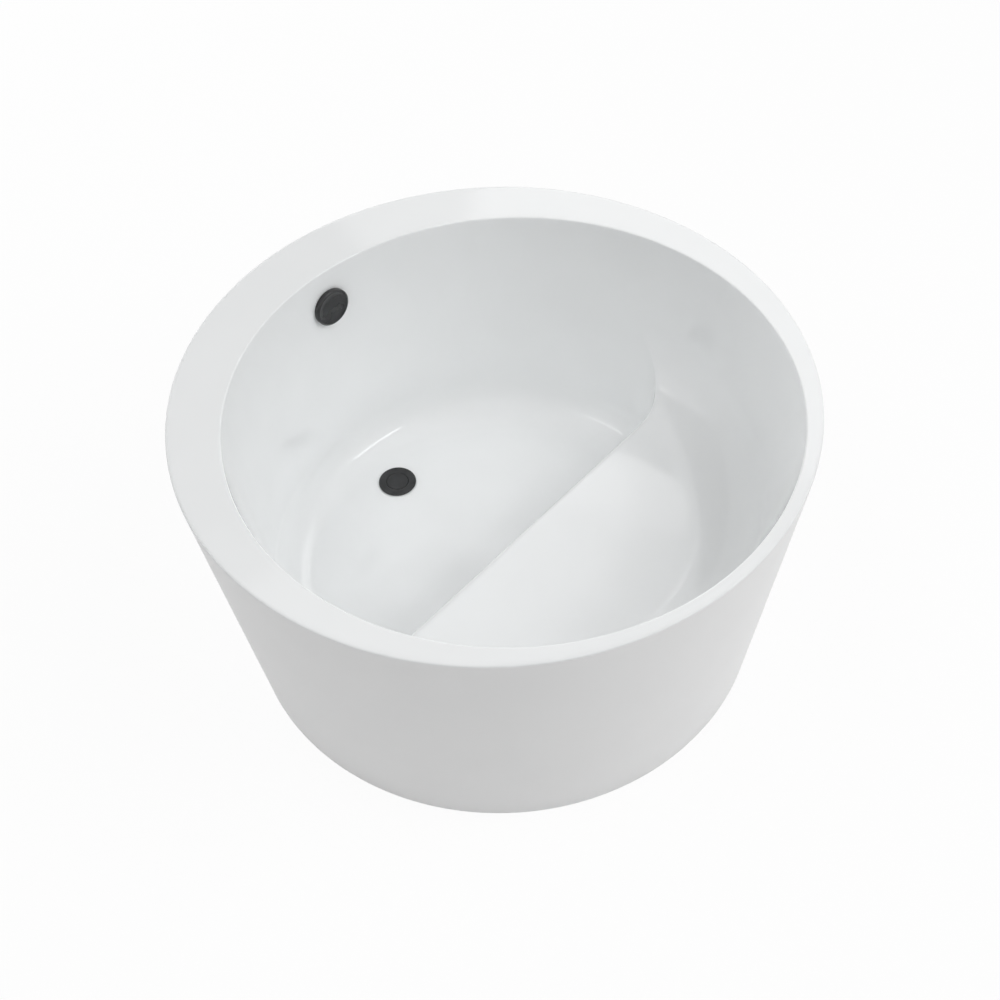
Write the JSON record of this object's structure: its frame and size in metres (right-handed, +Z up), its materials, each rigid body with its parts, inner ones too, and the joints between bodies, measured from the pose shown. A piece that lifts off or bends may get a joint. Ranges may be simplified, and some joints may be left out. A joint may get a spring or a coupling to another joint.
{
  "type": "bathtub",
  "caption": "Round free-standing bathtub: conical skirt, off-centre bathing opening, moulded half-moon seat, black drain stopper and overflow, on a levelling cradle.",
  "frame": {"origin": "on the floor, at the centre of the tub's round rim", "axes": "+Z up, +X from the centre towards the seat, so the overflow and the drain lie on the -X side, +Y to the left of someone who looks along +X"},
  "size_m": [1.1976, 1.1975, 0.61],
  "materials": {
    "acrylic": "white, polished",
    "board": "raw particle board",
    "frame_steel": "grey powder coat",
    "zinc_steel": "zinc plated",
    "black_plastic": "moulded, matt",
    "black_fitting": "black coat, satin",
    "rubber": "matt",
    "brass": "turned",
    "waste_plastic": "white moulding"
  },
  "bodies": {
    "tub": {"basin": "acrylic", "skirt": "acrylic", "floor_board": "board", "seat_board": "board", "rail_left": "frame_steel", "rail_right": "frame_steel", "cross_rail_front": "frame_steel", "cross_rail_middle": "frame_steel", "cross_rail_rear": "frame_steel", "rail_caps": "black_plastic", "seat_post_left": "frame_steel", "seat_post_right": "frame_steel", "board_screws": "zinc_steel", "post_screws": "zinc_steel", "skirt_brackets": "frame_steel", "bracket_screws": "zinc_steel", "rail_nuts": "zinc_steel", "lock_nuts": "zinc_steel", "drain_flange": "black_fitting", "drain_gasket": "rubber", "plug_cartridge": "brass", "under_gasket": "rubber", "drain_body": "waste_plastic", "outlet_tail": "waste_plastic", "overflow_run": "waste_plastic", "waste_elbow": "waste_plastic", "overflow_pipe": "waste_plastic", "overflow_elbow": "waste_plastic", "slip_nuts": "waste_plastic", "slip_washers": "rubber", "overflow_gasket": "rubber", "overflow_ring": "waste_plastic", "overflow_cover": "black_fitting"},
    "stopper": {"drain_cap": "black_fitting", "cap_seal": "rubber", "cap_stem": "brass"},
    "foot_1": {"foot_pad_1": "black_plastic", "foot_stud_1": "zinc_steel"},
    "foot_2": {"foot_pad_2": "black_plastic", "foot_stud_2": "zinc_steel"},
    "foot_3": {"foot_pad_3": "black_plastic", "foot_stud_3": "zinc_steel"},
    "foot_4": {"foot_pad_4": "black_plastic", "foot_stud_4": "zinc_steel"},
    "foot_5": {"foot_pad_5": "black_plastic", "foot_stud_5": "zinc_steel"}
  },
  "joints": [
    {"name": "stopper_lift", "type": "slide", "parent": "tub", "child": "stopper", "axis": [0, 0, 1], "range_m": [0, 0.009]},
    {"name": "foot_1_screw", "type": "slide", "parent": "tub", "child": "foot_1", "axis": [0, 0, -1], "range_m": [0, 0.02]},
    {"name": "foot_2_screw", "type": "slide", "parent": "tub", "child": "foot_2", "axis": [0, 0, -1], "range_m": [0, 0.02]},
    {"name": "foot_3_screw", "type": "slide", "parent": "tub", "child": "foot_3", "axis": [0, 0, -1], "range_m": [0, 0.02]},
    {"name": "foot_4_screw", "type": "slide", "parent": "tub", "child": "foot_4", "axis": [0, 0, -1], "range_m": [0, 0.02]},
    {"name": "foot_5_screw", "type": "slide", "parent": "tub", "child": "foot_5", "axis": [0, 0, -1], "range_m": [0, 0.02]}
  ]
}
